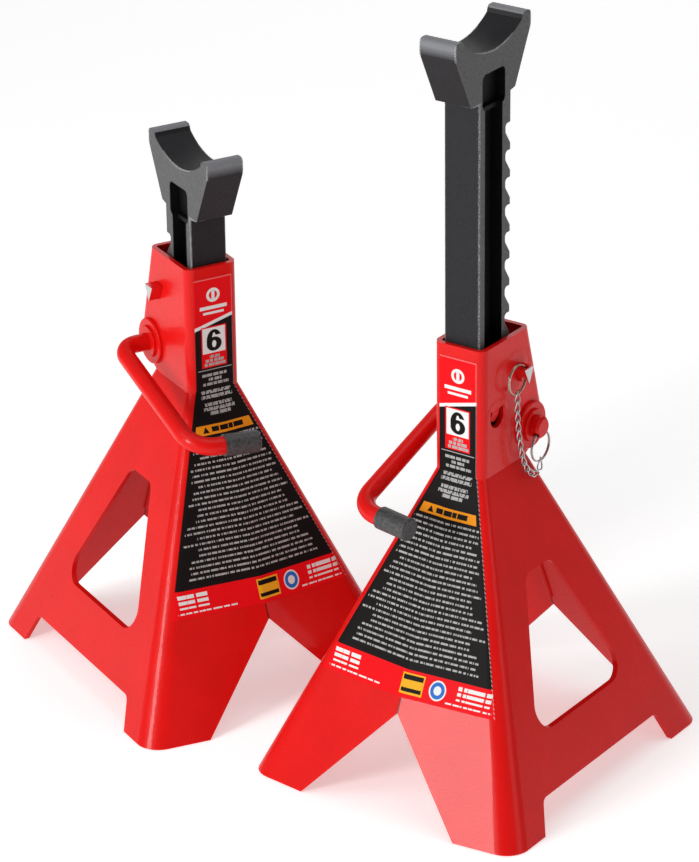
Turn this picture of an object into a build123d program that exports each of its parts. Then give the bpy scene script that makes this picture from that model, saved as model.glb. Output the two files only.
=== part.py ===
from build123d import *
import math
import os

# A pair of ratchet jack stands, millimetres, +Z up. Each stand is modelled in its own frame:
# the label faces -Y, the lever hangs on the -X side, Z = 0 is the floor. The raised stand is
# then placed square to the pair's frame and the lowered one is turned beside it.

# ---- welded base: pyramid, neck and rim ----
SHEET = 3.5                 # pressed steel sheet
BASE_HALF_X = 108.0
BASE_HALF_Y = 118.5
BASE_RIDGE = 12.0           # the centre seam stands this far out of the corner line at the floor
BASE_BEND = 17.0            # bend radius at the feet
WAIST_Z = 214.0
WAIST_RIDGE = 0.3
NECK_HALF_X = 19.7
NECK_FRONT_Y = -24.5
WAIST_REAR_Y = 32.0
RIM_Z = 306.5
RIM_REAR_Y = 32.5
NECK_BEND = 6.0             # bend radius of the neck's upright edges
SLOPE_THICKEN = 1.08        # horizontal thickness of a sloped wall over its true thickness
CUT = 160.0                 # half length of a tool that cuts right through

# ---- openings in the base ----
FOOT_FRONT = 45.5           # width of a foot along the front and rear flanges
FOOT_SIDE_FRONT = 36.2
FOOT_SIDE_REAR = 38.7
NOTCH_APEX_Z = 67.0
SIDE_BAR_Z = 21.0           # height of the lower side bars above the floor
SIDE_BAR_LEAN_FRONT, SIDE_BAR_LEAN_REAR = 11.0, 8.0
SIDE_BAR_R = 6.0
WINDOW_LOW_Z, WINDOW_TOP_Z = 56.0, 148.5
WINDOW_LOW_Y = (-57.5, 57.0)
WINDOW_TOP_Y = (-13.5, 17.0)
GUIDE_Y = -7.6              # the bent-in guide tongue on the right wall
GUIDE_LOW_Z, GUIDE_TOP_Z = 247.2, 263.5
GUIDE_SLOT = 3.4
GUIDE_HALF = 7.6
GUIDE_BEND_DEG = 12.0

# ---- lever, pawl and bushes ----
PIVOT_Y, PIVOT_Z = 32.5, 234.5
LOBE_R = 19.0               # the neck's rear wall rounds the pivot at this radius
LOBE_END_DEG = -60.0        # where the round turns into the straight run in to the waist
ROD_R = 6.3
RUNNING_GAP = 0.08
BUSH_BARREL_R = 9.0
BUSH_FLANGE_R, BUSH_FLANGE_T = 16.6, 2.6
BUSH_STEP_R, BUSH_STEP_T = 11.6, 2.0
ARM_X = -45.0
ARM_LENGTH = 115.5
ARM_DROP_DEG = 17.6         # the arm hangs this far below level with the pawl engaged
ELBOW_R, HANDLE_R = 12.0, 20.0
HANDLE_SPLAY_DEG = 8.0      # the handle opens this much past square to the arm
GRIP_R = 7.8
GRIP_FROM, GRIP_TO, GRIP_CAP = 22.0, 47.5, 2.5      # along the handle from its corner
COLLAR_R, COLLAR_NOSE_R = 7.7, 6.0
COLLAR_X = (24.6, 31.0)
PAWL_HUB_R = 10.5
PAWL_HALF_X = 10.0
PAWL_TIP = (13.4, 262.1)
PAWL_BACK = (21.5, 261.5)
PAWL_FRONT = [(13.4, 258.5), (18.2, 250.0), (20.0, 240.0)]
PAWL_FOOT = [(23.8, 229.0), (38.0, 242.5)]

# ---- ratchet column with its saddle, heights counted down from the lug tops ----
TOP_LOWERED = 391.0
PITCH = 19.0
STEPS_UP = 7                # the raised stand is held this many teeth higher
COLUMN_LENGTH = 383.0
COLUMN_HALF_X = 13.7
COLUMN_FRONT_Y = -20.2
TOOTH_TIP_Y, TOOTH_ROOT_Y = 15.8, 10.2
TOOTH_LAND, TOOTH_ROOT_RUN = 4.5, 6.0
TOOTH_UNDER_R, TOOTH_ROOT_R = 2.6, 4.0
FIRST_TOOTH_DOWN = 70.0
TOOTH_COUNT = 17
WEB_HALF_X = 4.5
CHANNEL_Y = (-14.0, 6.6)
CHANNEL_DOWN = (57.0, 370.0)
POCKET_Y = (-17.0, 9.6)
POCKET_DOWN = (29.5, 54.0)
POCKET_FLOOR_X = 6.0
RIB_FLOOR_X = 9.5
SADDLE_MID_Y = -4.2
SADDLE_HALF_TOP, SADDLE_HALF_LOW = 43.6, 25.6
LUG_FACE, LUG_WIDTH = 10.4, 8.6
SADDLE_DOWN = 47.5
TROUGH_DOWN = 15.4
TROUGH_EDGE_DOWN = 4.5

# ---- lock pin, rings and keeper chain ----
PIN_Y, PIN_TOP_Z = 18.5, 282.6
PIN_WIDTH, PIN_HEIGHT = 11.0, 11.3
PIN_END_X = 28.2
PIN_HOLE_GAP = 0.35
RING_X = 24.9
PIN_RING_R, SHAFT_RING_R, RING_WIRE_R = 10.3, 10.8, 0.85
RING_HOLE_R = 2.3
RING_SEAT = 0.8             # a ring's bend sits this far off the middle of its hole
SHAFT_RING_DROP = 3.6       # the ring's hole lies this far below the shaft axis
SHAFT_RING_X = 28.4
LINK_WIRE_R, LINK_INNER, LINK_WIDTH = 0.65, 6.6, 5.6
CHAIN_ROUTE = [(24.9, 9.2, 268.0), (25.2, 8.2, 257.0), (25.6, 9.4, 245.0),
               (26.6, 11.2, 231.0), (27.6, 17.0, 214.5), (28.4, 24.0, 205.0),
               (28.4, 29.0, 201.6)]
CHAIN_LINKS = 11
CHAIN_END = [(28.4, 31.6, 203.8), (28.4, 32.5, 211.8)]     # the last link, up to the shaft ring

# ---- label and seam welds ----
LABEL_T = 0.25
LABEL_HALF_TOP, LABEL_HALF_LOW = 14.6, 69.3
LABEL_TOP_Z, LABEL_WAIST_Z, LABEL_LOW_Z = 298.0, 216.0, 77.0
WELD_R = 2.0

# ---- where the two stands stand in the pair ----
LOWERED_PLACE = (-240.5, 8.7)
LOWERED_TURN_DEG = 64.5

NAMES = ("raised", "lowered")


def profile_x(points, half_x, corners=()):
    """Close (Y, Z) points into a face, round its listed corners and carry it across X."""
    face = make_face(Polyline(*points, close=True))
    for (y, z), radius in corners:
        corner = min(face.vertices(), key=lambda v: math.hypot(v.X - y, v.Y - z))
        face = fillet(corner, radius)
    return extrude(Plane.YZ * face, amount=half_x, both=True)


def block(x, y, z):
    """A box from its low and high limits along each axis."""
    size = [high - low for low, high in (x, y, z)]
    middle = [(high + low) / 2 for low, high in (x, y, z)]
    return Pos(*middle) * Box(*size)


def rod_x(radius, start, end, y=PIVOT_Y, z=PIVOT_Z):
    """A round bar along X."""
    return Pos((start + end) / 2, y, z) * Rot(0, 90, 0) * Cylinder(radius, end - start)


# ---------------------------------------------------------------- base shells

def base_section(z, grow):
    """Six-sided outline of the pyramid at height z, moved outwards by grow."""
    share = 1 - z / WAIST_Z
    half_x = NECK_HALF_X + (BASE_HALF_X - NECK_HALF_X) * share + grow
    front = NECK_FRONT_Y - (BASE_HALF_Y + NECK_FRONT_Y) * share - grow
    rear = WAIST_REAR_Y + (BASE_HALF_Y - WAIST_REAR_Y) * share + grow
    ridge = WAIST_RIDGE + (BASE_RIDGE - WAIST_RIDGE) * share
    bend = NECK_BEND + (BASE_BEND - NECK_BEND) * share + grow
    outline = Polyline((half_x, front), (half_x, rear), (0, rear + ridge), (-half_x, rear),
                       (-half_x, front), (0, front - ridge), close=True)
    face = make_face(outline)
    corners = face.vertices().filter_by(lambda v: abs(v.X) > 1)
    return Pos(0, 0, z) * fillet(corners, bend)


def neck_form(grow, top):
    """Neck seen from the side, leaning back to a lobe round the pivot, carried across X."""
    half_x = NECK_HALF_X + grow
    front = NECK_FRONT_Y - grow
    lobe = LOBE_R + grow
    low = WAIST_Z - 9
    rim = (RIM_REAR_Y + grow, RIM_Z)
    reach = math.dist(rim, (PIVOT_Y, PIVOT_Z))
    touch_angle = math.atan2(RIM_Z - PIVOT_Z, rim[0] - PIVOT_Y) - math.acos(lobe / reach)
    touch = (PIVOT_Y + lobe * math.cos(touch_angle), PIVOT_Z + lobe * math.sin(touch_angle))
    lean = (rim[0] - touch[0]) / (RIM_Z - touch[1])
    rear_top = (rim[0] + lean * (top - RIM_Z), top)
    turn_in = math.radians(LOBE_END_DEG)
    under = (PIVOT_Y + lobe * math.cos(turn_in), PIVOT_Z + lobe * math.sin(turn_in))
    middle = (touch_angle + turn_in) / 2
    bulge = (PIVOT_Y + lobe * math.cos(middle), PIVOT_Z + lobe * math.sin(middle))
    foot = (under[0] + (under[1] - low) * math.tan(turn_in), low)
    outline = [Line((front, low), (front, top)), Line((front, top), rear_top),
               Line(rear_top, touch), ThreePointArc(touch, bulge, under),
               Line(under, foot), Line(foot, (front, low))]
    neck = extrude(Plane.YZ * make_face(outline), amount=half_x, both=True)
    upright = neck.edges().filter_by(
        lambda e: abs(abs(e.center().X) - half_x) < 0.01 and e.bounding_box().size.Z > 5)
    return fillet(upright, NECK_BEND + grow)


def base_form(grow, low, top):
    """Whole base as one solid, moved outwards by grow."""
    thicker = grow * (SLOPE_THICKEN if grow < 0 else 1)
    pyramid = loft([base_section(low, thicker), base_section(WAIST_Z, thicker)], ruled=True)
    return pyramid + neck_form(grow, top)


def side_cutters():
    """Side windows, the gaps under the side bars and the notches front and rear."""
    window = profile_x(
        [(WINDOW_LOW_Y[0], WINDOW_LOW_Z), (WINDOW_LOW_Y[1], WINDOW_LOW_Z),
         (WINDOW_TOP_Y[1], WINDOW_TOP_Z), (WINDOW_TOP_Y[0], WINDOW_TOP_Z)], CUT,
        [((WINDOW_LOW_Y[0], WINDOW_LOW_Z), 13.0), ((WINDOW_LOW_Y[1], WINDOW_LOW_Z), 13.0),
         ((WINDOW_TOP_Y[1], WINDOW_TOP_Z), 9.0), ((WINDOW_TOP_Y[0], WINDOW_TOP_Z), 8.0)])
    gap_front, gap_rear = FOOT_SIDE_FRONT - BASE_HALF_Y, BASE_HALF_Y - FOOT_SIDE_REAR
    bar_front, bar_rear = gap_front + SIDE_BAR_LEAN_FRONT, gap_rear - SIDE_BAR_LEAN_REAR
    under_bar = profile_x(
        [(gap_front, -1), (gap_rear, -1), (bar_rear, SIDE_BAR_Z), (bar_front, SIDE_BAR_Z)],
        CUT, [((bar_rear, SIDE_BAR_Z), SIDE_BAR_R), ((bar_front, SIDE_BAR_Z), SIDE_BAR_R)])
    foot_x = BASE_HALF_X - FOOT_FRONT
    notch = make_face(Polyline((-foot_x, -1), (foot_x, -1), (0, NOTCH_APEX_Z), close=True))
    return [window, under_bar, extrude(Plane.XZ * notch, amount=CUT, both=True)]


def pin_bar(gap, half_x):
    """The lock pin's three-cornered bar, flat side up, moved outwards by gap."""
    half = PIN_WIDTH / 2 + gap * 1.6
    return profile_x([(PIN_Y - half, PIN_TOP_Z + gap), (PIN_Y + half, PIN_TOP_Z + gap),
                      (PIN_Y, PIN_TOP_Z - PIN_HEIGHT - gap * 2.2)], half_x)


def guide_outline(inset, low, top):
    """Upright slot outline with a round lower end, as a face in (Y, Z)."""
    half = GUIDE_HALF - inset
    y0, y1, bottom = GUIDE_Y - half, GUIDE_Y + half, low + inset
    return make_face([Line((y0, top), (y0, bottom + half)),
                      ThreePointArc((y0, bottom + half), (GUIDE_Y, bottom), (y1, bottom + half)),
                      Line((y1, bottom + half), (y1, top)), Line((y1, top), (y0, top))])


def guide_parts():
    """The window lanced in the right wall, and the tongue left hanging in it, bent inwards."""
    wall = NECK_HALF_X - SHEET
    hole = Pos(wall - 1, 0, 0) * extrude(
        Plane.YZ * guide_outline(0, GUIDE_LOW_Z, GUIDE_TOP_Z - 3), amount=SHEET + 2)
    tongue = Pos(wall, 0, 0) * extrude(
        Plane.YZ * guide_outline(GUIDE_SLOT, GUIDE_LOW_Z, GUIDE_TOP_Z), amount=SHEET)
    hinge = Pos(NECK_HALF_X, 0, GUIDE_TOP_Z)
    return hole, hinge * Rot(0, GUIDE_BEND_DEG, 0) * hinge.inverse() * tongue


def make_base():
    """Left and right pressed halves, split on the centre seam."""
    shell = base_form(0, 0, RIM_Z) - base_form(-SHEET, -2, RIM_Z + 2)
    for cutter in side_cutters():
        shell -= cutter
    shell -= rod_x(BUSH_BARREL_R, -CUT, CUT)
    shell -= pin_bar(PIN_HOLE_GAP, CUT)
    left = shell & block((-CUT, 0), (-CUT, CUT), (-1, RIM_Z + 1))
    right = shell & block((0, CUT), (-CUT, CUT), (-1, RIM_Z + 1))
    hole, tongue = guide_parts()
    return {"base_shell_left": left, "base_shell_right": right - hole + tongue}


def make_welds():
    """Weld beads on the inner side of the front and rear seams."""
    beads = {}
    for name, side, waist_y in (("front", -1, NECK_FRONT_Y), ("rear", 1, WAIST_REAR_Y)):
        ends = []
        for z in (NOTCH_APEX_Z + 8, WAIST_Z - 22):
            share = 1 - z / WAIST_Z
            corner = abs(waist_y) + (BASE_HALF_Y - abs(waist_y)) * share
            ridge = WAIST_RIDGE + (BASE_RIDGE - WAIST_RIDGE) * share
            ends.append(Vector(0, side * (corner + ridge - SHEET * SLOPE_THICKEN), z))
        run = Line(*ends)
        bead = sweep(Plane(origin=ends[0], z_dir=ends[1] - ends[0]) * Circle(WELD_R), path=run)
        beads[f"{name}_seam_weld"] = bead & base_form(-SHEET, -2, RIM_Z)
    return beads


def make_label():
    """Thin foil on the front: a strip on the neck that flares with the pyramid below."""
    outline = Polyline(
        (-LABEL_HALF_TOP, LABEL_TOP_Z), (LABEL_HALF_TOP, LABEL_TOP_Z),
        (LABEL_HALF_TOP, LABEL_WAIST_Z), (LABEL_HALF_LOW, LABEL_LOW_Z),
        (-LABEL_HALF_LOW, LABEL_LOW_Z), (-LABEL_HALF_TOP, LABEL_WAIST_Z), close=True)
    reach = extrude(Plane.XZ * make_face(outline), amount=CUT)
    return (base_form(LABEL_T, 0, RIM_Z) - base_form(0, 0, RIM_Z)) & reach


# ---------------------------------------------------------------- ratchet column

def saddle_outline(top):
    """Side outline of the saddle: two lugs, a round trough and a tapered underside."""
    mid, low = SADDLE_MID_Y, top - SADDLE_DOWN
    front, rear = mid - SADDLE_HALF_TOP, mid + SADDLE_HALF_TOP
    inner_front, inner_rear = front + LUG_WIDTH, rear - LUG_WIDTH
    edge = top - TROUGH_EDGE_DOWN
    trough = ThreePointArc((inner_rear - 1.5, edge), (mid, top - TROUGH_DOWN),
                           (inner_front + 1.5, edge))
    rim = Polyline((inner_front + 1.5, edge), (inner_front, top), (front, top),
                   (front, top - LUG_FACE), (mid - SADDLE_HALF_LOW, low),
                   (COLUMN_FRONT_Y, low - 1.2), (TOOTH_TIP_Y, low - 1.2),
                   (mid + SADDLE_HALF_LOW, low), (rear, top - LUG_FACE), (rear, top),
                   (inner_rear, top), (inner_rear - 1.5, edge))
    face = make_face([trough, rim])
    for y, z, radius in ((front, top, 3.2), (rear, top, 3.2), (inner_front, top, 3.0),
                         (inner_rear, top, 3.0), (front, top - LUG_FACE, 5.0),
                         (rear, top - LUG_FACE, 5.0), (mid - SADDLE_HALF_LOW, low, 1.5),
                         (mid + SADDLE_HALF_LOW, low, 1.5)):
        corner = min(face.vertices(), key=lambda v: math.hypot(v.X - y, v.Y - z))
        face = fillet(corner, radius)
    return face


def tooth_gap(under_z):
    """The notch below one tooth: level underside, short root and a long run out to the next tip."""
    out = TOOTH_TIP_Y + 3
    slope_low = under_z - PITCH + TOOTH_LAND
    slope_high = under_z - TOOTH_ROOT_RUN
    return profile_x(
        [(out, under_z), (TOOTH_ROOT_Y, under_z), (TOOTH_ROOT_Y, slope_high),
         (TOOTH_TIP_Y, slope_low), (out, slope_low)], COLUMN_HALF_X + 1,
        [((TOOTH_ROOT_Y, under_z), TOOTH_UNDER_R), ((TOOTH_ROOT_Y, slope_high), TOOTH_ROOT_R)])


def side_pocket(y, down, top, floor_x, radius):
    """A pair of round-cornered pockets, one in each side face, down to floor_x."""
    high, low = top - down[0], top - down[1]
    corners = [(y[0], low), (y[1], low), (y[1], high), (y[0], high)]
    through = profile_x(corners, COLUMN_HALF_X + 1, [(c, radius) for c in corners])
    return through - block((-floor_x, floor_x), (-CUT, CUT), (low - 1, high + 1))


def make_column(top):
    """Cast H-section bar with teeth on the rear face and the saddle on top."""
    low = top - COLUMN_LENGTH
    bar = block((-COLUMN_HALF_X, COLUMN_HALF_X), (COLUMN_FRONT_Y, TOOTH_TIP_Y),
                (low, top - SADDLE_DOWN + 4))
    bar = fillet(bar.edges().filter_by(Axis.Z).group_by(Axis.Y)[0], 1.2)
    bar = chamfer(bar.faces().sort_by(Axis.Z)[0].edges(), 1.0)
    saddle = extrude(Plane.YZ * saddle_outline(top), amount=COLUMN_HALF_X, both=True)
    column = bar + saddle
    for tooth in range(TOOTH_COUNT):
        column -= tooth_gap(top - FIRST_TOOTH_DOWN - tooth * PITCH)
    column -= side_pocket(POCKET_Y, POCKET_DOWN, top, POCKET_FLOOR_X, 4.0)
    column -= side_pocket(CHANNEL_Y, CHANNEL_DOWN, top, WEB_HALF_X, 2.0)
    rib = (POCKET_DOWN[1] - 4, CHANNEL_DOWN[0] + 4)
    return column - side_pocket(CHANNEL_Y, rib, top, RIB_FLOOR_X, 1.0)


# ---------------------------------------------------------------- lever and lock

def ring_hole(x, y, z, direction):
    """Cross hole that a split ring passes through."""
    turn = {"Y": Rot(90, 0, 0), "Z": Rot(0, 0, 0)}[direction]
    return Pos(x, y, z) * turn * Cylinder(RING_HOLE_R, 40)


def make_lever():
    """Bent rod, grip, end collar, pawl and its weld, all turning about the pivot."""
    drop, splay = math.radians(ARM_DROP_DEG), math.radians(HANDLE_SPLAY_DEG)
    arm = Vector(0, -math.cos(drop), -math.sin(drop))
    corner = Vector(ARM_X, PIVOT_Y, PIVOT_Z) + arm * ARM_LENGTH
    handle = Vector(1, 0, 0) * math.cos(splay) + arm * math.sin(splay)
    start = Vector(COLLAR_X[1] - 0.6, PIVOT_Y, PIVOT_Z)
    path = FilletPolyline(start, (ARM_X, PIVOT_Y, PIVOT_Z), corner,
                          corner + handle * (GRIP_TO - GRIP_CAP), radius=[ELBOW_R, HANDLE_R])
    rod = sweep(Plane(origin=start, z_dir=(-1, 0, 0)) * Circle(ROD_R), path=path)
    hole = ring_hole(SHAFT_RING_X, PIVOT_Y, PIVOT_Z - SHAFT_RING_DROP, "Y")
    grip_plane = Plane(origin=corner + handle * GRIP_FROM, z_dir=handle)
    grip = extrude(grip_plane * Circle(GRIP_R), amount=GRIP_TO - GRIP_FROM)
    grip = fillet(grip.edges().sort_by(Axis((0, 0, 0), tuple(handle)))[-1], 1.6)
    grip -= extrude(grip_plane * Circle(ROD_R), amount=GRIP_TO - GRIP_FROM - GRIP_CAP)
    collar = rod_x(COLLAR_R, *COLLAR_X)
    collar = chamfer(collar.faces().sort_by(Axis.X)[-1].edges(), COLLAR_R - COLLAR_NOSE_R)
    collar -= rod_x(ROD_R, COLLAR_X[0] - 1, COLLAR_X[1] - 0.6)
    finger = profile_x([PAWL_TIP, *PAWL_FRONT, *PAWL_FOOT, PAWL_BACK], PAWL_HALF_X,
                       [(PAWL_TIP, 1.0), (PAWL_BACK, 3.0), (PAWL_FRONT[1], 4.0)])
    pawl = finger + rod_x(PAWL_HUB_R, -PAWL_HALF_X, PAWL_HALF_X)
    pawl -= rod_x(ROD_R, -CUT, CUT)
    weld = rod_x(ROD_R + 1.6, PAWL_HALF_X, PAWL_HALF_X + 1.6) - rod_x(ROD_R, 0, CUT)
    return {"lever_rod": rod - hole, "lever_grip": grip, "shaft_end_collar": collar - hole,
            "pawl": pawl, "pawl_weld": weld}


def make_bushes():
    """Flanged bushes that carry the lever's shaft in the neck walls."""
    bore = rod_x(ROD_R + RUNNING_GAP, -CUT, CUT)
    bushes = {}
    for name, side in (("left", -1), ("right", 1)):
        stations = [(BUSH_BARREL_R, NECK_HALF_X - SHEET - 1.5, NECK_HALF_X),
                    (BUSH_FLANGE_R, NECK_HALF_X, NECK_HALF_X + BUSH_FLANGE_T)]
        step = (NECK_HALF_X + BUSH_FLANGE_T, NECK_HALF_X + BUSH_FLANGE_T + BUSH_STEP_T)
        barrel, flange = [rod_x(r, *sorted((side * a, side * b))) for r, a, b in stations]
        rim = flange.faces().sort_by(Axis.X)[-1 if side > 0 else 0].edges()
        bushes[f"pivot_bush_{name}"] = barrel + fillet(rim, 1.2) - bore
        washer = rod_x(BUSH_STEP_R, *sorted((side * step[0], side * step[1])))
        rim = washer.faces().sort_by(Axis.X)[-1 if side > 0 else 0].edges()
        bushes[f"pivot_washer_{name}"] = fillet(rim, 0.6) - bore
    return bushes


def split_ring(x, y, z, radius):
    """A round ring lying in the plane of the side wall."""
    return Pos(x, y, z) * Rot(0, 90, 0) * Torus(radius, RING_WIRE_R)


def make_lock():
    """Lock pin and the ring through its right end."""
    pin = pin_bar(0, PIN_END_X) - ring_hole(RING_X, PIN_Y, PIN_TOP_Z, "Z")
    ring = split_ring(RING_X, PIN_Y + RING_SEAT - PIN_RING_R, PIN_TOP_Z - PIN_HEIGHT / 2,
                      PIN_RING_R)
    return {"lock_pin": pin, "pin_ring": ring}


def chain_link(centre, along, twist):
    """One closed link, its long axis on the chain's route."""
    half, r = LINK_INNER / 2 - 0.6, LINK_WIDTH / 2 - LINK_WIRE_R
    sides = [Line((-half, r), (half, r)), ThreePointArc((half, r), (half + r, 0), (half, -r)),
             Line((half, -r), (-half, -r)), ThreePointArc((-half, -r), (-half - r, 0), (-half, r))]
    wire = Wire(sides)
    link = sweep(Plane(origin=(0, r, 0), z_dir=(1, 0, 0)) * Circle(LINK_WIRE_R), path=wire)
    across = Vector(1, 0, 0).cross(along)
    return Plane(origin=centre, x_dir=along, z_dir=across) * Rot(twist, 0, 0) * link


def chain_run(route, count, first):
    """Links at even steps along straight runs between the route's points."""
    points = [Vector(*p) for p in route]
    runs = [(b - a).length for a, b in zip(points, points[1:])]
    links = []
    for n in range(count):
        along = sum(runs) * (n + 0.5) / count
        index = 0
        while along > runs[index]:
            along -= runs[index]
            index += 1
        step = (points[index + 1] - points[index]).normalized()
        links.append(chain_link(points[index] + step * along, step, 45 if (n + first) % 2 else -45))
    return links


def make_shaft_ring_and_chain():
    """Ring through the shaft end, and the chain between the two rings."""
    top = PIVOT_Z - SHAFT_RING_DROP + RING_SEAT
    ring = split_ring(SHAFT_RING_X, PIVOT_Y, top - SHAFT_RING_R, SHAFT_RING_R)
    links = chain_run(CHAIN_ROUTE, CHAIN_LINKS, 0) + chain_run(CHAIN_END, 1, CHAIN_LINKS)
    chain = Compound(children=[link.solid() for link in links])
    return {"shaft_ring": ring, "keeper_chain": chain}


# ---------------------------------------------------------------- the pair

def make_stand(top):
    """Every piece of one stand, with its lug tops at the given height."""
    pieces = {"ratchet_column": make_column(top), "front_label": make_label()}
    for group in (make_base, make_welds, make_lever, make_bushes, make_lock,
                  make_shaft_ring_and_chain):
        pieces.update(group())
    return pieces


def place_pair():
    """Both stands in one frame, centred on the floor below the pair's box."""
    tops = (TOP_LOWERED + STEPS_UP * PITCH, TOP_LOWERED)
    places = (Pos(0, 0, 0), Pos(*LOWERED_PLACE, 0) * Rot(0, 0, LOWERED_TURN_DEG))
    pieces = {}
    for name, top, place in zip(NAMES, tops, places):
        for piece, shape in make_stand(top).items():
            pieces[f"{name}_{piece}"] = place * shape
    boxes = [shape.bounding_box() for shape in pieces.values()]
    low = [min(box.min.X for box in boxes), min(box.min.Y for box in boxes)]
    high = [max(box.max.X for box in boxes), max(box.max.Y for box in boxes)]
    centre = Pos(-(low[0] + high[0]) / 2, -(low[1] + high[1]) / 2, 0)
    print("raised stand's axis is at", tuple(centre.position), "low", low, "high", high)
    return {name: centre * shape for name, shape in pieces.items()}


os.makedirs("parts", exist_ok=True)
for node, shape in place_pair().items():
    export_step(shape, f"parts/{node}.step")
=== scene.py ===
import math

import bpy
import numpy as np
from mathutils import Matrix, Vector


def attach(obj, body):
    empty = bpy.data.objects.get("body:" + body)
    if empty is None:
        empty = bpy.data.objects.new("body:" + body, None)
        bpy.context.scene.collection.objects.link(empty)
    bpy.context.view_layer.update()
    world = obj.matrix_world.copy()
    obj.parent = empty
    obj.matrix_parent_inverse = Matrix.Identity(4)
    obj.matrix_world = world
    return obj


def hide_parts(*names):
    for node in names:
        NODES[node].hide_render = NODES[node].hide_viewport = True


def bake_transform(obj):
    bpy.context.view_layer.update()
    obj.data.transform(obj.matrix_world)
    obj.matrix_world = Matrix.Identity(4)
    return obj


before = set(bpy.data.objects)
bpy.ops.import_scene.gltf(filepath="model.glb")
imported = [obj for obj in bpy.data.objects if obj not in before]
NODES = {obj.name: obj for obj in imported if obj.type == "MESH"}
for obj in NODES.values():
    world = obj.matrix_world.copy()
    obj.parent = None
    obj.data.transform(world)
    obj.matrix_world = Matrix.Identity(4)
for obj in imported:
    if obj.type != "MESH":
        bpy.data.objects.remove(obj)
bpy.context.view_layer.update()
MM = 0.001

# ---- where the stands are, in metres ----
STANDS = {"raised": ((0.14094969, -0.0087), 0.0, 0.524),
          "lowered": ((0.14094969 - 0.2405, 0.0), math.radians(64.5), 0.391)}

# ---- camera ----
CAMERA_AT = (1.5009, -2.0706, 1.3653)
CAMERA_PAN, CAMERA_TILT, CAMERA_ROLL = (math.radians(a) for a in (-35.401, -24.547, -0.693))
LENS_MM = 170.05

# ---- painted base and pin in the stand's frame, mm ----
SEAM_TOP = 226.0                            # the seam's ridge ends below the neck
SEAM_HALF = (0.35, 0.9)                     # half width of the dark line, and where it has faded
RIGHT_PADS = ((14.0, 280.0, 12.5), (-7.6, 254.0, 11.0))     # y, z and radius, at the hole and slot
PAD_EDGE = 3.0
PIN_FACE_X = 28.05                          # the pin is bare metal beyond this

# ---- column casting, mm; drops are measured down from the saddle's top ----
SADDLE_Y = -4.2
SEAT_RISE, SEAT_RADIUS = 31.5, 47.0         # the round seat's centre is above the top
POCKET_DROP, NECK_DROP, RIB_DROP, TEETH_DROP = 28.5, 47.0, 60.0, 66.0
POCKET_Y = (-17.5, 10.5)
SHOULDER_DROP = 48.4                        # the step under the saddle's lugs

# ---- label layout in the stand's frame, mm: boxes are left, right, low, top ----
LABEL_HALF_TOP, LABEL_HALF_LOW = 14.6, 69.3
LABEL_TOP, LABEL_WAIST, LABEL_LOW = 298.0, 216.0, 77.0
BAND_SLOPE = 0.253
HEADER_LOW, BAND = 265.0, (264.0, 266.5)
MARK_Z, MARK_RING = 285.5, (3.2, 5.2)
MARK_BARS = ((-10.5, 10.5, 275.0, 277.6), (-8, 8, 271.4, 273.2), (-1.2, 1.2, 282.5, 288.5))
NUMERAL_FRAME = (-10.0, 9.6, 231.6, 262.2)
NUMERAL_BOX = (-9.0, 8.6, 242.2, 261.2)
NUMERAL_Z, BOWL_DROP = 251.6, 2.8
NECK_LINES = ((240.6, 2.2, 4), (237.7, 2.2, 7), (234.8, 2.2, 8.4), (227.0, 2.1, 10),
              (223.6, 2.1, 5), (220.2, 2.1, 10.5), (214.6, 2.1, 11.5), (211.5, 2.1, 12),
              (206.8, 2.1, 10.5), (203.9, 2.1, 12), (201.1, 2.1, 8))   # top, height, half width
NECK_PITCH = 3.62
NECK_RULE = (-13, 13, 229.6, 230.2)
BAR, BAR_SHARE = (187.0, 193.3), 0.88       # height, and share of the label's half width
BAR_WORDS = (-9.5, 15, 188.6, 191.8)
SIGN_X, SIGN_PEAK, SIGN_SLOPE = -14.0, 192.3, 0.62
TEXT_LOW, TEXT_TOP, TEXT_PITCH = 98.5, 185.8, 3.5
FOOTER_TOP = 94.3
FOOTER_ROWS = ((89.2, 91.6), (85.8, 87.9), (82.9, 84.1))
FOOTER_ENDS = ((-62.0, -40.0), (39.0, 64.0))
LAST_ROW, LAST_ROW_ENDS = (79.6, 80.6), ((-64, -20), (32, 66))
PLATE = (-3.0, 14.0, 79.6, 92.4)
PLATE_BARS = ((-2.0, 13.0, 81.0, 83.4), (-2.0, 13.0, 88.4, 91.4))
BADGE, BADGE_RADIUS, BADGE_RING = (24.5, 86.0), 6.2, (2.8, 5.2)
DOT_PITCH, DOT_GAP, TRIM_WIDTH = 1.6, 0.45, 0.55

# ---- chain and rings in the stand's frame, mm ----
CHAIN_ROUTE = [(24.9, 9.2, 268.0), (25.2, 8.2, 257.0), (25.6, 8.6, 245.0), (26.6, 9.6, 231.0),
               (27.2, 11.4, 221.0), (27.8, 15.2, 211.0), (28.4, 22.4, 203.6), (28.4, 29.0, 201.6)]
CHAIN_END = [(28.4, 31.6, 203.8), (28.4, 32.5, 211.8)]
CHAIN_LINKS = 11
LINK_WIRE_R, LINK_HALF, LINK_SIDE = 0.56, 2.7, 2.05
LINK_TURN_DEG = 45
SMOOTH_REACH = 10                           # samples on each side in the running mean
RING_WIRE_R = 0.5
PIN_RING = (24.9, 9.0, 276.95, 10.3)        # centre x, y, z and radius
SHAFT_RING = (28.4, 32.5, 220.9, 10.8)


# ---------------------------------------------------------------- material graphs

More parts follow.
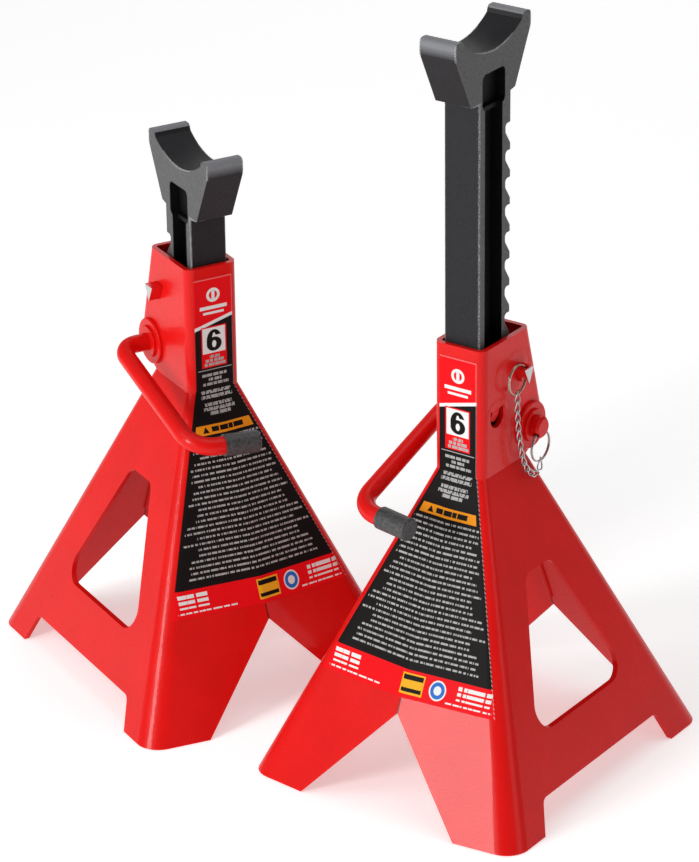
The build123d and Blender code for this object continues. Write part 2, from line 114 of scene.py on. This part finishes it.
class Value:
    """A socket in a material; arithmetic and comparisons with it add Math nodes."""

    def __init__(self, look, socket):
        self.look, self.socket = look, socket

    def math(self, kind, *others):
        return self.look.node("ShaderNodeMath", self, *others, operation=kind)

    def flipped(self, kind, other):
        return self.look.node("ShaderNodeMath", other, self, operation=kind)

    def __add__(self, other):
        return self.math("ADD", other)

    def __radd__(self, other):
        return self.flipped("ADD", other)

    def __sub__(self, other):
        return self.math("SUBTRACT", other)

    def __rsub__(self, other):
        return self.flipped("SUBTRACT", other)

    def __mul__(self, other):
        return self.math("MULTIPLY", other)

    def __rmul__(self, other):
        return self.flipped("MULTIPLY", other)

    def __truediv__(self, other):
        return self.math("DIVIDE", other)

    def __rtruediv__(self, other):
        return self.flipped("DIVIDE", other)

    def __gt__(self, other):
        return self.math("GREATER_THAN", other)

    def __lt__(self, other):
        return self.math("LESS_THAN", other)

    def __abs__(self):
        return self.math("ABSOLUTE")

    def between(self, low, high):
        """1 inside the two limits and 0 outside."""
        return (self > low) * (self < high)

    def ramp(self, low, high, out_low=0.0, out_high=1.0):
        """Straight run from out_low to out_high as the value goes from low to high."""
        return self.look.node("ShaderNodeMapRange", self, low, high, out_low, out_high)

    def either(self, *others):
        """The largest, so 1 where any of the masks is 1."""
        total = self
        for other in others:
            total = total.math("MAXIMUM", other)
        return total


def distance(across, up):
    return (across * across + up * up).math("SQRT")


def ellipse(across, up, across_squared, up_squared):
    """Below 1 inside the ellipse with these squared half axes."""
    return across * across / across_squared + up * up / up_squared


class Look:
    """One material with its Principled shader; constants go on the shader's own sockets."""

    def __init__(self, name, **constants):
        self.material = bpy.data.materials.new(name)
        self.material.use_nodes = True
        self.tree = self.material.node_tree
        self.shader = self.tree.nodes["Principled BSDF"]
        for key, number in constants.items():
            self.shader.inputs[key.replace("_", " ")].default_value = number

    def node(self, kind, *inputs, out=0, first=0, named=None, **settings):
        """Any node: its settings, then its inputs in socket order from first, with None for one
        that is left alone, and further inputs by the name of their socket."""
        made = self.tree.nodes.new(kind)
        for key, setting in settings.items():
            setattr(made, key, setting)
        given_to = list(zip(list(made.inputs)[first:], inputs))
        given_to += [(made.inputs[key], given) for key, given in (named or {}).items()]
        for socket, given in given_to:
            if isinstance(given, Value):
                self.tree.links.new(given.socket, socket)
            elif given is not None:
                socket.default_value = given
        return Value(self, made.outputs[out])

    def place(self, stand=None):
        """Object coordinates in mm, in the stand's own frame when one is named."""
        point = self.node("ShaderNodeTexCoord", out=3)
        if stand:
            (x, y), turn, _ = STANDS[stand]
            point = self.node("ShaderNodeMapping", point, (x, y, 0), (0, 0, turn),
                              vector_type="TEXTURE")
        return self.node("ShaderNodeVectorMath", point, None, None, 1 / MM, operation="SCALE")

    def axes(self, point):
        split = self.node("ShaderNodeSeparateXYZ", point)
        return [Value(self, socket) for socket in split.socket.node.outputs]

    def mix(self, share, colour_a, colour_b):
        """Colour a where the share is 0, colour b where it is 1."""
        a, b = (given if isinstance(given, Value) else (*given, 1)
                for given in (colour_a, colour_b))
        return self.node("ShaderNodeMix", share, None, None, None, None, None, a, b, out=2,
                         data_type="RGBA")

    def noise(self, point, scale, detail=2.0, rough=0.5):
        return self.node("ShaderNodeTexNoise", point, None, scale, detail, rough)

    def stretch(self, point, scale):
        return self.node("ShaderNodeVectorMath", point, scale, operation="MULTIPLY")

    def bump(self, height, strength, depth):
        return self.node("ShaderNodeBump",
                         named={"Strength": strength, "Distance": depth, "Height": height})

    def feed(self, **sockets):
        """Links values to the shader's sockets, and hands back the finished material."""
        for key, value in sockets.items():
            self.tree.links.new(value.socket, self.shader.inputs[key.replace("_", " ")])
        return self.material


RED = (0.76, 0.007, 0.006)
RED_DEEP = (0.70, 0.006, 0.005)
SEAM_DARK = (0.10, 0.003, 0.003)
ZINC = (0.62, 0.62, 0.61)
FINE_GRAIN = 0.0003                         # bump depth, m


def red_paint(stand, seam):
    """Glossy powder coat with fine orange peel; the shells have a dark line at their seam."""
    look = Look(f"{stand}_red_{'shell' if seam else 'plain'}", Roughness=0.3, Coat_Weight=0.14,
                Coat_Roughness=0.07, Specular_IOR_Level=0.13)
    point = look.place(stand)
    peel = look.noise(point, 0.85, 3.0, 0.6)
    broad = look.noise(point, 0.03, 2.0)
    colour = look.mix(broad.ramp(0.3, 0.7), RED_DEEP, RED)
    rough = peel.ramp(0.3, 0.7, 0.26, 0.34)
    if seam:
        x, y, z = look.axes(point)
        line = abs(x).ramp(*SEAM_HALF, 1.0, 0.0) * (z < SEAM_TOP)
        colour = look.mix(line * 0.85, colour, SEAM_DARK)

        def raised_disc(mid_y, mid_z, radius):
            return distance(y - mid_y, z - mid_z).ramp(radius, radius + PAD_EDGE, 1.0, 0.0)

        # the right wall is pressed out a little round the pin hole and down to the guide slot
        hole_pad, slot_pad = (raised_disc(*pad) for pad in RIGHT_PADS)
        pad = hole_pad.either(slot_pad) * (x > 10)
        peel = peel + pad.math("SMOOTH_MIN", 1.0, 0.4) * 3.0
    return look.feed(Base_Color=colour, Roughness=rough, Normal=look.bump(peel, 0.5, FINE_GRAIN))


def pin_paint(stand):
    """Red bar with bare zinc end faces."""
    look = Look(f"{stand}_pin", Coat_Roughness=0.12)
    point = look.place(stand)
    x, _, _ = look.axes(point)
    bare = abs(x) > PIN_FACE_X
    grain = look.noise(point, 1.4, 3.0)
    return look.feed(Base_Color=look.mix(bare, RED, ZINC), Metallic=bare * 0.75,
                     Roughness=bare.ramp(0, 1, 0.3, 0.42),
                     Normal=look.bump(grain, 0.3, FINE_GRAIN))


def casting(stand):
    """Black paint on a casting: charcoal front, sides painted greyer as painted light with grain
    in them, pale speckled edges of paint wear and painted highlight, painted shade in the pockets,
    painted highlight on the lugs.
    """
    front_dark, front_pale = (0.010, 0.010, 0.012), (0.028, 0.028, 0.031)
    lit_side_dark, lit_side_pale = (0.062, 0.062, 0.063), (0.135, 0.135, 0.137)
    pocket_shade, tooth_grey = (0.0025, 0.0025, 0.003), (0.09, 0.09, 0.095)
    lug_highlight_grey, edge_wear_and_highlight = (0.26, 0.265, 0.28), (0.50, 0.50, 0.52)
    top = STANDS[stand][2] / MM
    look = Look(f"{stand}_casting", Specular_IOR_Level=0.22)
    point = look.place(stand)
    x, y, z = look.axes(point)
    saddle_y = y - SADDLE_Y
    reach = abs(x)
    grain = look.noise(look.stretch(point, (1, 1.0, 0.4)), 1.1, 4.0, 0.7)
    speck = look.noise(point, 1.6, 4.0, 0.7)
    cast = look.noise(point, 0.35, 3.0, 0.6)

    front = look.mix(speck.ramp(0.45, 0.75), front_dark, front_pale)
    # painted light: the sides are painted paler grey than the front to stand in for how they are
    # lit, with grain in them
    lit_flank = look.mix(grain.ramp(0.34, 0.66), lit_side_dark, lit_side_pale)
    colour = look.mix(reach.ramp(13.3, 13.62), front, lit_flank)
    # painted shade: the inside of the pockets is painted near black
    pocket_shade_mask = reach.ramp(13.1, 13.3, 1.0, 0.0) * y.between(*POCKET_Y) * (z < top - POCKET_DROP)
    colour = look.mix(pocket_shade_mask, colour, pocket_shade)
    # painted highlight: a paler grey band that fades in towards the top of the lugs' faces
    lug_highlight_mask = z.ramp(top - 11.0, top - 4.0) * (abs(saddle_y) > 34.5) * (reach < 13.5)
    colour = look.mix(lug_highlight_mask * speck.ramp(0.2, 0.8, 0.6, 1.0), colour, lug_highlight_grey)
    teeth = (y > 10.4) * (z < top - TEETH_DROP)
    colour = look.mix(teeth * cast.ramp(0.3, 0.7, 0.2, 0.6), colour, tooth_grey)

    # paint wear with painted highlight along the post, the ribs, the seat, the shoulder and the
    # tips of the lugs
    post = z < top - NECK_DROP
    rim = reach.ramp(13.25, 13.6) * (y < -19.5).either((y > 15.3) * (z < top - RIB_DROP))
    ridge = reach.ramp(12.4, 13.2) * y.between(-20.6, -19.2) * post
    off_seat = abs(distance(saddle_y, z - top - SEAT_RISE) - SEAT_RADIUS)
    seat = (off_seat < 0.9) * (reach > 12.9) * (abs(saddle_y) < 34)
    shoulder = (abs(z - top + SHOULDER_DROP) < 1.3) * (reach > 7.0) * (y < -19.0)
    tips = (z > top - 12) * (reach > 12.8) * (abs(saddle_y) > 42.4)
    wear_and_highlight = (rim * post * 0.7).either(ridge, seat, shoulder, tips)
    colour = look.mix(wear_and_highlight * speck.ramp(0.46, 0.6), colour, edge_wear_and_highlight)
    return look.feed(Base_Color=colour, Roughness=speck.ramp(0.3, 0.7, 0.42, 0.62),
                     Normal=look.bump(speck * 0.5 + cast, 0.5, 0.0007))


def plain_metal(name, colour, roughness, metallic, scale=1.5, strength=0.15):
    """One metal with a slight mottle in its shade and gloss."""
    look = Look(name, Metallic=metallic)
    grain = look.noise(look.place(), scale, 3.0)
    shade = look.mix(grain.ramp(0.3, 0.7), tuple(c * 0.8 for c in colour), colour)
    return look.feed(Base_Color=shade,
                     Roughness=grain.ramp(0.3, 0.7, roughness * 0.8, roughness * 1.2),
                     Normal=look.bump(grain, strength, FINE_GRAIN))


def label_print(stand):
    """Generic printed label: header with a plain mark, a numeral, and rows of dashes for text."""
    white, black, red = (0.80, 0.80, 0.79), (0.010, 0.008, 0.008), (0.83, 0.006, 0.010)
    ink, orange, amber = (0.42, 0.42, 0.41), (0.86, 0.30, 0.012), (0.85, 0.42, 0.02)
    blue, trim_pink = (0.03, 0.16, 0.55), (0.85, 0.5, 0.5)
    look = Look(f"{stand}_label", Roughness=0.5, Specular_IOR_Level=0.06)
    point = look.place(stand)
    x, y, z = look.axes(point)
    half = z.ramp(LABEL_LOW, LABEL_WAIST, LABEL_HALF_LOW, LABEL_HALF_TOP)
    reach = abs(x)

    def box(left, right, low, top):
        return x.between(left, right) * z.between(low, top)

    def any_of(masks):
        first, *rest = masks
        return first.either(*rest)

    def dash(seed, size, gap):
        """Word-like breaks along a line, from 1-D noise that a seed shifts from row to row."""
        cell = look.node("ShaderNodeTexNoise", x + seed, size, 1.0, noise_dimensions="1D", first=1)
        return cell > gap

    # the two-tone field: red header over black, with a white band that rises to the right
    slant = z - x * BAND_SLOPE
    colour = look.mix(slant > HEADER_LOW, black, red)
    colour = look.mix(slant.between(*BAND), colour, white)
    # plain mark in the header: a ring and short bars
    mark = distance(x, z - MARK_Z).between(*MARK_RING).either(*(box(*bar) for bar in MARK_BARS))
    colour = look.mix(mark, colour, white)

    # numeral in a white box with a red outline
    colour = look.mix(box(*NUMERAL_FRAME), colour, red)
    colour = look.mix(box(*NUMERAL_BOX), colour, white)
    up = z - NUMERAL_Z
    bowl, hole = ellipse(x, up + BOWL_DROP, 34.0, 27.0), ellipse(x, up + BOWL_DROP, 2.6, 7.0)
    tall, inner = ellipse(x, up, 34.0, 64.0), ellipse(x, up, 2.6, 32.0)
    stem = (tall < 1.0) * (inner > 1.0) * ((x < 0.2) * (up > -3)).either((up > 3.6) * (x > 0))
    six = stem.either(bowl < 1.0) * (hole > 1.0)
    colour = look.mix(six, colour, black)

    # short lines under the numeral and down the neck
    lines = any_of([z.between(top - tall_mm, top) * (reach < wide)
                    for top, tall_mm, wide in NECK_LINES])
    neck_cell = (z / NECK_PITCH).math("FLOOR")
    colour = look.mix(lines * dash(neck_cell * 13.7, 0.62, 0.40), colour, ink)
    colour = look.mix(box(*NECK_RULE), colour, ink)

    # orange bar with a plain triangle and one run of dashes
    colour = look.mix(z.between(*BAR) * (reach < half * BAR_SHARE), colour, orange)
    left, right, low, top = BAR_WORDS
    words = z.between(low, top) * x.between(left, right) * dash(3.0, 0.55, 0.36)
    colour = look.mix(words, colour, black)
    triangle = z.between(188.3, 192.0) * (abs(x - SIGN_X) < (SIGN_PEAK - z) * SIGN_SLOPE)
    colour = look.mix(triangle, colour, black)

    # block of fine rows, widening with the label; white noise sets where each row ends
    count = (TEXT_TOP - z) / TEXT_PITCH
    row = count.math("FLOOR")
    share = count - row
    wide = look.node("ShaderNodeTexWhiteNoise", None, row + 0.5, noise_dimensions="1D")
    text = (share.between(0.30, 0.66) * z.between(TEXT_LOW, TEXT_TOP)
            * (reach < half * wide.ramp(0, 1, 0.72, 0.95)))
    colour = look.mix(text * dash(row * 17.3, 0.62, 0.46), colour, ink)

    # red footer with a small plate, a round badge and pale dashes at both ends
    colour = look.mix(z < FOOTER_TOP, colour, red)
    rows = any_of([z.between(*limits) for limits in FOOTER_ROWS])
    ends = any_of([x.between(*limits) for limits in FOOTER_ENDS])
    colour = look.mix(rows * ends * dash(5.0, 0.35, 0.38), colour, white)
    last_row = z.between(*LAST_ROW) * any_of([x.between(*limits) for limits in LAST_ROW_ENDS])
    colour = look.mix(last_row * dash(8.0, 0.5, 0.42), colour, white)
    colour = look.mix(box(*PLATE), colour, amber)
    colour = look.mix(any_of([box(*bar) for bar in PLATE_BARS]), colour, black)
    from_badge = distance(x - BADGE[0], z - BADGE[1])
    colour = look.mix(from_badge < BADGE_RADIUS, colour, white)
    colour = look.mix(from_badge.between(*BADGE_RING), colour, blue)

    # pale dotted outline at the top and right
    dots = ((x + z) / DOT_PITCH).math("MODULO", 1.0) > DOT_GAP
    trim = (z > LABEL_TOP - 0.8).either(((half - x) < TRIM_WIDTH) * (z > LABEL_LOW))
    colour = look.mix(trim * dots * 0.55, colour, trim_pink)
    grain = look.noise(point, 1.1, 2.0)
    return look.feed(Base_Color=colour, Normal=look.bump(grain, 0.08, FINE_GRAIN))


def rubber():
    """Dull black rubber with grey scuffs."""
    look = Look("grip_rubber", Specular_IOR_Level=0.5)
    point = look.place()
    grain = look.noise(point, 0.5, 4.0, 0.6)
    fine = look.noise(point, 2.2, 2.0)
    colour = look.mix(grain.ramp(0.35, 0.7), (0.022, 0.022, 0.023), (0.075, 0.074, 0.073))
    return look.feed(Base_Color=colour, Roughness=grain.ramp(0.3, 0.7, 0.38, 0.55),
                     Normal=look.bump(fine, 0.2, FINE_GRAIN))


# ---------------------------------------------------------------- meshes

def tube(name, loops, radius, closed, sides=10):
    """Round wire along one or more runs of points. At each point a ring of corners stands
    square to the run: centre + radius * (cos t * normal + sin t * binormal), where the normal
    points away from the run's middle. A closed run joins its last ring to its first."""
    points, faces = [], []
    angle = np.linspace(0, 2 * math.pi, sides, endpoint=False)
    start = 0
    for path in loops:
        path = np.asarray(path, float)
        if closed:
            ahead = np.roll(path, -1, 0) - np.roll(path, 1, 0)
        else:
            ahead = np.gradient(path, axis=0)
        ahead /= np.linalg.norm(ahead, axis=1, keepdims=True)
        middle = path.mean(0)
        out = path - middle
        out -= (out * ahead).sum(1, keepdims=True) * ahead
        out /= np.maximum(np.linalg.norm(out, axis=1, keepdims=True), 1e-9)
        other = np.cross(ahead, out)
        ring = (path[:, None] + radius * (np.cos(angle)[None, :, None] * out[:, None]
                                          + np.sin(angle)[None, :, None] * other[:, None]))
        count = len(path)
        points.append(ring.reshape(-1, 3))
        spans = np.arange(count if closed else count - 1)
        a, b = np.meshgrid(spans, np.arange(sides), indexing="ij")
        a2, b2 = (a + 1) % count, (b + 1) % sides
        quads = np.stack([a * sides + b, a2 * sides + b, a2 * sides + b2, a * sides + b2], -1)
        faces.append(quads.reshape(-1, 4) + start)
        start += count * sides
    mesh = bpy.data.meshes.new(name)
    corners = np.concatenate(points) * MM
    mesh.from_pydata(corners.tolist(), [], np.concatenate(faces).tolist())
    mesh.polygons.foreach_set("use_smooth", np.ones(len(mesh.polygons), bool))
    mesh.update()
    made = bpy.data.objects.new(name, mesh)
    bpy.context.scene.collection.objects.link(made)
    return made


def to_row(stand, points):
    """Points of the stand's frame, mm, carried into the row frame, mm."""
    (x, y), turn, _ = STANDS[stand]
    points = np.asarray(points, float)
    c, s = math.cos(turn), math.sin(turn)
    return np.stack([x / MM + points[..., 0] * c - points[..., 1] * s,
                     y / MM + points[..., 0] * s + points[..., 1] * c, points[..., 2]], -1)


def curb_links(route, count, turn_deg):
    """Closed wire links of a curb chain, evenly spaced along the smoothed route. Each link is a
    stadium loop: u = half length * clipped cosine + side, v = side * sine, with v turned about
    the route by about turn_deg at one tip and by the opposite angle at the other."""
    route = np.asarray(route, float)
    runs = np.linalg.norm(np.diff(route, axis=0), axis=1)
    reach = np.concatenate([[0], np.cumsum(runs)])
    fine = np.linspace(0, reach[-1], 200)
    curve = np.stack([np.interp(fine, reach, route[:, k]) for k in range(3)], -1)
    if len(route) > 2:
        # a running mean rounds the corners of a route with more than two points
        kernel = np.ones(2 * SMOOTH_REACH + 1) / (2 * SMOOTH_REACH + 1)
        padded = np.concatenate([np.repeat(curve[:1], SMOOTH_REACH, 0), curve,
                                 np.repeat(curve[-1:], SMOOTH_REACH, 0)])
        curve = np.stack([np.convolve(padded[:, k], kernel, "valid") for k in range(3)], -1)
        curve[0], curve[-1] = route[0], route[-1]
    reach = np.concatenate([[0], np.cumsum(np.linalg.norm(np.diff(curve, axis=0), axis=1))])
    t = np.linspace(0, 2 * math.pi, 40, endpoint=False)
    u = LINK_HALF * np.clip(1.25 * np.cos(t), -1, 1) + LINK_SIDE * 0.85 * np.cos(t)
    v = LINK_SIDE * np.sin(t)
    links = []
    for n in range(count):
        at = reach[-1] * (n + 0.5) / count
        centre = np.array([np.interp(at, reach, curve[:, k]) for k in range(3)])
        ahead = np.array([np.interp(at + 1, reach, curve[:, k]) for k in range(3)])
        behind = np.array([np.interp(at - 1, reach, curve[:, k]) for k in range(3)])
        along = (ahead - behind) / np.linalg.norm(ahead - behind)
        across = np.cross([1.0, 0, 0], along)
        across /= np.linalg.norm(across)
        third = np.cross(along, across)
        twist = np.radians(turn_deg) * (u / (LINK_HALF + LINK_SIDE))
        links.append(centre + u[:, None] * along + (v * np.cos(twist))[:, None] * across
                     + (v * np.sin(twist))[:, None] * third)
    return links


def double_ring(x, y, z, radius):
    """Split ring: two turns of wire, y = radius * sin t and z = radius * cos t, that lie side by
    side and cross over once, where a tanh of t carries x from one side to the other."""
    t = np.linspace(0, 4 * math.pi, 160)
    shift = np.tanh((t - 2 * math.pi) * 2.2) * RING_WIRE_R * 0.98
    start = 0.6
    return np.stack([x + shift, y + radius * np.sin(t + start),
                     z + radius * np.cos(t + start)], -1)


# ---------------------------------------------------------------- the two stands

nickel = plain_metal("nickel", (0.58, 0.58, 0.58), 0.24, 1.0)
brassy = plain_metal("worn_nickel", (0.50, 0.45, 0.36), 0.27, 1.0)
forging = plain_metal("dark_forging", (0.10, 0.10, 0.105), 0.5, 0.6, 0.5, 0.3)
grip_rubber = rubber()

RINGS = (("pin_ring", PIN_RING, "pin", brassy), ("shaft_ring", SHAFT_RING, "lever", nickel))
CHAINS = (("run", CHAIN_ROUTE, CHAIN_LINKS, "pin"), ("tail", CHAIN_END, 1, "lever"))

for stand in STANDS:
    shell_red, plain_red = red_paint(stand, True), red_paint(stand, False)
    own = {"base_shell_left": shell_red, "base_shell_right": shell_red,
           "ratchet_column": casting(stand), "lever_grip": grip_rubber, "pawl": forging,
           "front_label": label_print(stand), "lock_pin": pin_paint(stand)}
    for name, node in NODES.items():
        if name.startswith(stand + "_"):
            node.data.materials.clear()
            node.data.materials.append(own.get(name[len(stand) + 1:], plain_red))

    for piece, spec, body, metal in RINGS:
        coils = [to_row(stand, double_ring(*spec))]
        ring = tube(f"{stand}_{piece}_coils", coils, RING_WIRE_R, False, 12)
        ring.data.materials.append(metal)
        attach(ring, f"{stand}_{body}")
        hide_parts(f"{stand}_{piece}")

    for piece, route, count, far in CHAINS:
        links = [to_row(stand, link) for link in curb_links(route, count, LINK_TURN_DEG)]
        chain = tube(f"{stand}_keeper_chain_{piece}", links, LINK_WIRE_R, True, 8)
        chain.data.materials.append(nickel)
        low, high = (route[-1], route[0]) if far == "pin" else (route[0], route[-1])
        tuple(to_row(stand, low) * MM)
        tuple(to_row(stand, high) * MM)
        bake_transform(chain)
        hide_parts(f"{stand}_keeper_chain")


# ---------------------------------------------------------------- floor, light and camera

def floor_piece():
    """Plain pale floor with a little light of its own."""
    bpy.ops.mesh.primitive_plane_add(size=30, location=(0, 0, -0.0005))
    plane = bpy.context.object
    plane.name = "studio_floor"
    look = Look("studio_floor", Roughness=0.9, Specular_IOR_Level=0.1)
    look.shader.inputs["Base Color"].default_value = (0.86, 0.86, 0.86, 1)
    look.shader.inputs["Emission Color"].default_value = (1, 1, 1, 1)
    look.shader.inputs["Emission Strength"].default_value = 0.46
    plane.data.materials.append(look.material)


def area_light(name, at, aim, size, watts):
    """White rectangle of light at one place, in metres, turned to face another."""
    data = bpy.data.lights.new(name, "AREA")
    data.shape, data.size, data.size_y = "RECTANGLE", size[0], size[1]
    data.energy = watts
    made = bpy.data.objects.new(name, data)
    made.location = at
    made.rotation_euler = (Vector(aim) - Vector(at)).to_track_quat("-Z", "Y").to_euler()
    bpy.context.scene.collection.objects.link(made)


floor_piece()
area_light("key", (-0.72, -2.6, 0.98), (0.1, 0, 0.15), (0.62, 0.95), 36)
area_light("strip", (-0.35, -2.5, 1.15), (0.0, 0, 0.2), (0.07, 1.2), 9)
area_light("left", (-2.2, -1.9, 1.5), (0, 0, 0.15), (1.3, 1.5), 3)
area_light("high", (-0.9, -1.6, 2.6), (0, 0, 0.2), (1.4, 1.4), 12)
area_light("top", (0.3, 0.6, 2.7), (0, 0, 0.1), (2.0, 2.0), 15)
area_light("right", (2.7, 0.2, 1.0), (0.1, 0, 0.2), (0.9, 1.4), 6)
area_light("back", (-1.2, 2.4, 1.4), (0, 0, 0.2), (1.6, 1.2), 9)

world = bpy.data.worlds.new("studio")
world.use_nodes = True
world.node_tree.nodes["Background"].inputs[0].default_value = (1, 1, 1, 1)
world.node_tree.nodes["Background"].inputs[1].default_value = 0.2
bpy.context.scene.world = world
bpy.context.scene.view_settings.view_transform = "Standard"

# pan turns from +Y towards +X, tilt is upwards, and roll turns about the line of sight
camera = bpy.data.objects.new("camera", bpy.data.cameras.new("camera"))
ahead = Vector((math.sin(CAMERA_PAN) * math.cos(CAMERA_TILT),
                math.cos(CAMERA_PAN) * math.cos(CAMERA_TILT), math.sin(CAMERA_TILT)))
right = Vector((math.cos(CAMERA_PAN), -math.sin(CAMERA_PAN), 0))
above = right.cross(ahead)
rolled = right * math.cos(CAMERA_ROLL) + above * math.sin(CAMERA_ROLL)
above = above * math.cos(CAMERA_ROLL) - right * math.sin(CAMERA_ROLL)
turned = Matrix((rolled, above, -ahead)).transposed().to_4x4()
camera.matrix_world = Matrix.Translation(CAMERA_AT) @ turned
camera.data.lens = LENS_MM
camera.data.clip_end = 100
bpy.context.scene.collection.objects.link(camera)
bpy.context.scene.camera = camera
